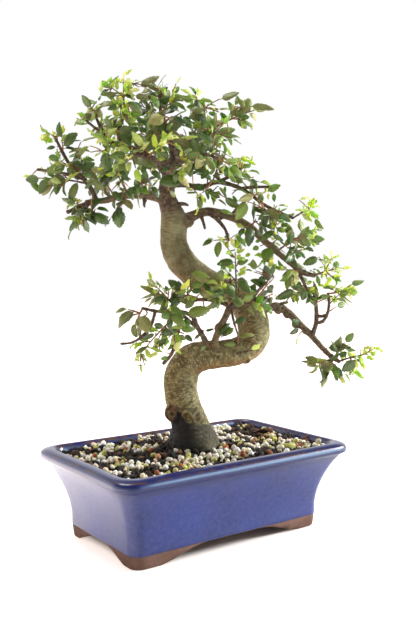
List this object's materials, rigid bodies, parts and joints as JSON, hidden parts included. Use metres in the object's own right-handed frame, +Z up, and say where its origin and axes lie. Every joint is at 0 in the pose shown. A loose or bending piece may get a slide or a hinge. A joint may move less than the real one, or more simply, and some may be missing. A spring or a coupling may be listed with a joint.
{
  "type": "chinese elm bonsai",
  "caption": "Small elm tree trained in an S-bend, with leafy sprays, growing from gritty soil in a glazed rectangular pot on feet.",
  "frame": {"origin": "on the surface that the pot's feet stand on, under the middle of the whole plant's box", "axes": "+X along the pot's long side, +Y along its short side towards the back, +Z up"},
  "size_m": [0.231, 0.1634, 0.3459],
  "materials": {
    "glazed_pot": "glossy cobalt glaze, bare brown clay on the feet",
    "screen_plastic": "matt black plastic",
    "soil_and_grit": "dark damp soil under pale and orange grit",
    "bark": "rough olive-brown bark, dark at the foot",
    "leaf_dark": "dark glossy leaf, standing in for plant tissue",
    "leaf_mid": "green satin leaf, standing in for plant tissue",
    "leaf_olive": "olive satin leaf, standing in for plant tissue",
    "leaf_lime": "bright young leaf, standing in for plant tissue"
  },
  "bodies": {
    "root": {"pot": "glazed_pot", "drain_screen_left": "screen_plastic", "drain_screen_right": "screen_plastic", "soil": "soil_and_grit", "trunk": "bark", "spray_left_far": "leaf_mid", "spray_left_top": "leaf_lime", "spray_left_upper": "leaf_mid", "spray_left_low": "leaf_dark", "spray_left_end": "leaf_olive", "spray_left_mid": "leaf_dark", "spray_left_back": "leaf_dark", "spray_left_rise": "leaf_mid", "spray_left_inner": "leaf_dark", "spray_top_left_end": "leaf_mid", "spray_top_left_lime": "leaf_lime", "spray_top_left_back": "leaf_dark", "spray_peak_left": "leaf_lime", "spray_peak_mid": "leaf_lime", "spray_apex_end": "leaf_olive", "spray_apex_right": "leaf_mid", "spray_apex_left": "leaf_dark", "spray_apex_front": "leaf_olive", "spray_apex_back": "leaf_dark", "spray_leader_end": "leaf_olive", "spray_leader_up": "leaf_mid", "spray_leader_front": "leaf_dark", "spray_leader_right": "leaf_mid", "spray_leader_back": "leaf_dark", "spray_back_left_end": "leaf_dark", "spray_back_left_low": "leaf_dark", "spray_back_right_end": "leaf_mid", "spray_back_right_low": "leaf_dark", "spray_front_left_end": "leaf_mid", "spray_front_left_up": "leaf_lime", "spray_front_right_mid": "leaf_dark", "spray_front_right_end": "leaf_mid", "spray_right_up_start": "leaf_lime", "spray_right_up_mid": "leaf_mid", "spray_right_up_end": "leaf_lime", "spray_right_up_low": "leaf_dark", "spray_arch_top": "leaf_dark", "spray_arch_back": "leaf_mid", "spray_arch_mid": "leaf_mid", "spray_arch_front": "leaf_dark", "spray_arch_end": "leaf_lime", "spray_arch_under": "leaf_mid", "spray_low_up_end": "leaf_dark", "spray_low_up2_end": "leaf_mid", "spray_low_end": "leaf_lime", "spray_low_tip_up": "leaf_dark", "spray_low_tip_down": "leaf_dark", "spray_front_up": "leaf_lime", "spray_front_right": "leaf_dark", "spray_front_pad": "leaf_mid", "spray_front_left": "leaf_dark", "spray_vee_end": "leaf_olive", "spray_vee_up": "leaf_mid", "spray_vee_down": "leaf_lime", "spray_under": "leaf_mid"}
  },
  "joints": []
}
